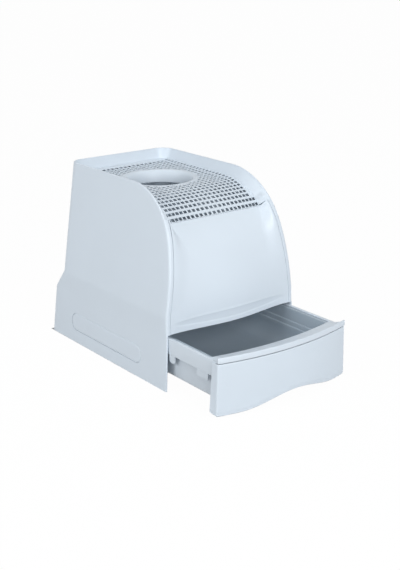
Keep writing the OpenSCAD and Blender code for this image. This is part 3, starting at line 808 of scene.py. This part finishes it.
# Drawer front: its lower edge has one arch and a round at each foot. rows are shares of the way up, and rolls
# are (row, how far it goes in, square to facingRow): a bead with a groove over it at the foot, a rolled top
fascia = {
    "reach": 215.0, "bow": 25.0, "half": 184.0, "flare": 4.0, "splay": 3.0, "seam": 121.3, "wall": 2.6,
    "gap": 3.2, "arch": 19.0, "archX": 16.0, "archLeft": 150.0, "archRight": 140.0, "cornerLeft": 7.0,
    "cornerRight": 13.0, "roundShare": 0.98, "round": 4.0, "returnDepth": 19.5,
    "columns": {"face": 121, "round": 7, "return": 6}, "facingRow": 5,
    "rows": np.concatenate([[0.0, 0.012, 0.024, 0.04, 0.06], np.linspace(0.1, 0.965, 16), [0.98, 0.99, 1.0]]),
    "rolls": ((0, 2.6), (1, 0.9), (2, 0.2), (3, 0.6), (-1, 0.9), (-2, 0.25)),
}


# The bar's section goes round the sides and the rear. The lip's section spans from the front's parabola to
# the opening's own
def buildFrame():
    c = clipFrame
    half, rear, radius, n = c["half"], c["rear"], c["round"], c["columns"]
    a = np.linspace(0, math.pi / 2, n["corner"])
    y = np.linspace(-c["front"], rear - radius, n["side"] + 1)[:-1]
    side = np.stack([np.full(n["side"], half), y], -1)
    corner = [half - radius, rear - radius] + radius * np.stack([np.cos(a), np.sin(a)], -1)
    backRun = np.stack([np.linspace(half - radius, 0, n["rear"] + 1)[1:], np.full(n["rear"], rear)], -1)
    right = np.concatenate([side, corner, backRun])
    path = np.concatenate([right, right[-2::-1] * [-1, 1]])
    bar = sweepClosed(path, pathOutward(path), c["section"])
    x = np.linspace(-fascia["half"], fascia["half"], n["lip"])
    outer = np.stack([x, -fascia["reach"] - fascia["bow"] * (1 - (x / fascia["half"]) ** 2)], -1)
    rampX = x * c["rampHalf"] / fascia["half"]
    inner = np.stack([rampX, -c["opening"] - c["openingBow"] * (1 - (rampX / c["openingHalf"]) ** 2)], -1)
    lip = np.array(c["lip"])
    # The way in is sideways over the first part of the lip, and straight back over all of it
    share = lip[None, :, :1] * [1, 1]
    share[..., 0] = np.clip(share[..., 0] / c["sideShare"], 0, 1)
    points = np.empty((len(x), len(lip), 3))
    points[..., :2] = outer[:, None] + (inner - outer)[:, None] * share
    onRamp = (lip[:, 0] > c["ramp"][0]) & (lip[:, 1] > c["ramp"][1])
    away = c["fall"] * smooth((np.abs(rampX) - c["fallFrom"]) / c["fallOver"])[:, None] * onRamp
    points[..., 2] = np.maximum(lip[:, 1] - away, np.minimum(lip[:, 1], c["fallTo"]))
    return makePiece("drawerFrame", [bar, joinRings(points)], shift=-drawerOut, sharp=38)


# Lower edge of the drawer front: one cosine arch, and a quarter round at each foot
def lowerEdge(x, half):
    f = fascia
    span = np.where(x < f["archX"], f["archLeft"], f["archRight"])
    wave = (1 + np.cos(math.pi * np.clip((x - f["archX"]) / span, -1, 1))) / 2
    r = np.where(x < 0, f["cornerLeft"], f["cornerRight"])
    over = np.clip(np.abs(x) - (half - r), 0, r)
    return f["gap"] + f["arch"] * wave + r - np.sqrt(r * r - over * over * f["roundShare"])


# Each row is a plan at its share of the way up: a parabola between two round corners with their returns,
# which flare and splay out below
def buildFront():
    f = fascia
    across = np.linspace(-1, 1, f["columns"]["face"])
    corner = np.linspace(0, 1, f["columns"]["round"])[1:]
    along = np.linspace(0, 1, f["columns"]["return"])[1:]
    rows = []
    for share in f["rows"]:
        half, r = f["half"] + f["flare"] * (1 - share), f["round"]
        x = across * (half - r)
        y = -f["reach"] - f["bow"] * (1 - (x / half) ** 2)
        bend = cornerCurve(np.array([x[-1], y[-1]]), [half, -f["reach"]], [half, -f["reach"] + r], corner)
        backX = half + f["splay"] * (1 - share) * along
        back = np.stack([backX, -f["reach"] + r + (f["returnDepth"] - r) * along], -1)
        right = np.concatenate([bend, back])
        plan = np.concatenate([right[::-1] * [-1, 1], np.stack([x, y], -1), right])
        low = lowerEdge(plan[:, 0], f["half"] + f["flare"] + f["splay"])
        z = low + (f["seam"] - low) * share
        rows.append(np.concatenate([plan, z[:, None]], 1))
    rows = np.stack(rows)
    inward = -pathOutward(rows[f["facingRow"]][:, :2])
    for k, back in f["rolls"]:
        rows[k][:, :2] += inward * back
    parts = [(rows, gridFaces(*rows.shape[:2]))]
    return makePiece("drawerFront", parts, shift=-drawerOut, wall=f["wall"], sharp=38, outward=(1, -1))


finishPiece(buildTub(), "drawer", ["drawer_tub"], "tubPlastic")
finishPiece(buildPan(), "drawer", ["litter_pan"], "panPlastic")
finishPiece(buildFrame(), "drawer", ["drawer_frame"], "framePlastic")
finishPiece(buildFront(), "drawer", ["drawer_front"], "frontPlastic")
print("drawer made")

# CAD nodes that keep their shape. Runners, catches and hooks take the tub's and frame's tints, with the
# painted shade in them
keptFinishes = {
    "deck_latches": "hoodPlastic", "runner_left": "tubPlastic", "runner_right": "tubPlastic",
    "foot_pads": "padRubber", "front_catch_left": "framePlastic", "front_catch_right": "framePlastic",
    "side_hook_left": "framePlastic", "side_hook_right": "framePlastic",
}
for nodeName, finishName in keptFinishes.items():
    paint(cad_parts[nodeName], finish[finishName])

# Floor and background. underHood is the rectangle below the hood, where the floor isn't white
stage = {
    "floorGrey": 0.5, "floorReach": 40.0, "floorDrop": 0.0008, "white": 1.02, "whiteShare": 0.96,
    "underHood": {"y": 0.160, "halfX": 0.191, "halfY": 0.190},
    "worldTint": (0.95, 0.975, 1.0, 1), "worldLight": 0.31, "lampTint": (0.965, 0.985, 1.0),
    "lampAim": (0, 0, 0.2),
}
lamps = {
    "key": {"place": (-0.5, -2.6, 1.25), "size": 1.8, "power": 50},
    "sky": {"place": (0.1, 0.2, 2.6), "size": 2.4, "power": 8},
    "sideFill": {"place": (-2.2, 0.2, 1.1), "size": 1.4, "power": 20},
}
viewpoint = {
    "place": (-1.41639, -1.84628, 0.95787), "down": 18.691, "turn": -37.942, "lens": 65.12, "sensor": 36,
}


# 1 for what the camera sees directly, in a gloss or through clear stuff, else 0
def seenShare(s):
    path = s.add("ShaderNodeLightPath")
    seen, glossy, through = (
        path.value(key) for key in ("Is Camera Ray", "Is Glossy Ray", "Is Transmission Ray"))
    return (seen + glossy + through).limited()


# White to the eye and a plain pale surface to the light, with part of the shadow kept. Under the hood it is
# only the plain surface, so that the view down through the entry hole stays dark
def floorMaterial(name):
    material = bpy.data.materials.new(name)
    s = Shader(material)
    seen = seenShare(s)
    place = s.add("ShaderNodeSeparateXYZ", None, {"Vector": s.add("ShaderNodeTexCoord").out("Object")})
    hidden = stage["underHood"]
    across, along = abs(place.value("X")), abs(place.value("Y") - hidden["y"])
    under = (across < hidden["halfX"]) * (along < hidden["halfY"])
    plain = s.add("ShaderNodeBsdfDiffuse", None, {"Color": (stage["floorGrey"],) * 3 + (1,)})
    white = s.add("ShaderNodeEmission", None, {"Color": (1, 1, 1, 1), "Strength": stage["white"]})
    share = seen * stage["whiteShare"] * (1 - under)
    mixed = s.add("ShaderNodeMixShader", None, {0: share, 1: plain, 2: white})
    s.add("ShaderNodeOutputMaterial", None, {"Surface": mixed})
    return material


# One wide square, a hair below the skirt's foot
def buildFloor():
    reach, z = stage["floorReach"], -stage["floorDrop"]
    mesh = bpy.data.meshes.new("floor")
    corners = [(-reach, -reach, z), (reach, -reach, z), (reach, reach, z), (-reach, reach, z)]
    mesh.from_pydata(corners, [], [(0, 1, 2, 3)])
    floor = bpy.data.objects.new("floor", mesh)
    paint(floor, floorMaterial("floorPaint"))
    bpy.context.scene.collection.objects.link(floor)


# Faint light from all round, and white to the eye
def buildWorld():
    world = bpy.data.worlds.new("studio")
    s = Shader(world)
    tint, strength = stage["worldTint"], stage["worldLight"]
    light = s.add("ShaderNodeBackground", None, {"Color": tint, "Strength": strength})
    white = s.add("ShaderNodeBackground", None, {"Color": (1, 1, 1, 1), "Strength": 1.0})
    mixed = s.add("ShaderNodeMixShader", None, {0: seenShare(s), 1: light, 2: white})
    s.add("ShaderNodeOutputWorld", None, {"Surface": mixed})
    bpy.context.scene.world = world


# A round soft lamp that looks at the object's lower middle
def buildLamp(name, lamp):
    data = bpy.data.lights.new(name, "AREA")
    data.shape = "DISK"
    data.size = lamp["size"]
    data.energy = lamp["power"]
    data.color = stage["lampTint"]
    obj = bpy.data.objects.new(name, data)
    obj.location = lamp["place"]
    aim = np.array(stage["lampAim"]) - np.array(lamp["place"])
    obj.rotation_euler = (math.atan2(math.hypot(aim[0], aim[1]), -aim[2]), 0, math.atan2(-aim[0], aim[1]))
    bpy.context.scene.collection.objects.link(obj)


# The photograph's viewing angle: down and turn in degrees
def buildCamera():
    data = bpy.data.cameras.new("camera")
    data.lens = viewpoint["lens"]
    data.sensor_width = viewpoint["sensor"]
    camera = bpy.data.objects.new("camera", data)
    camera.location = viewpoint["place"]
    camera.rotation_euler = (math.radians(90 - viewpoint["down"]), 0, math.radians(viewpoint["turn"]))
    bpy.context.scene.collection.objects.link(camera)
    bpy.context.scene.camera = camera


buildFloor()
buildWorld()
for lampName, lamp in lamps.items():
    buildLamp(lampName, lamp)
buildCamera()
bpy.context.scene.view_settings.view_transform = "Standard"
print("stage made")
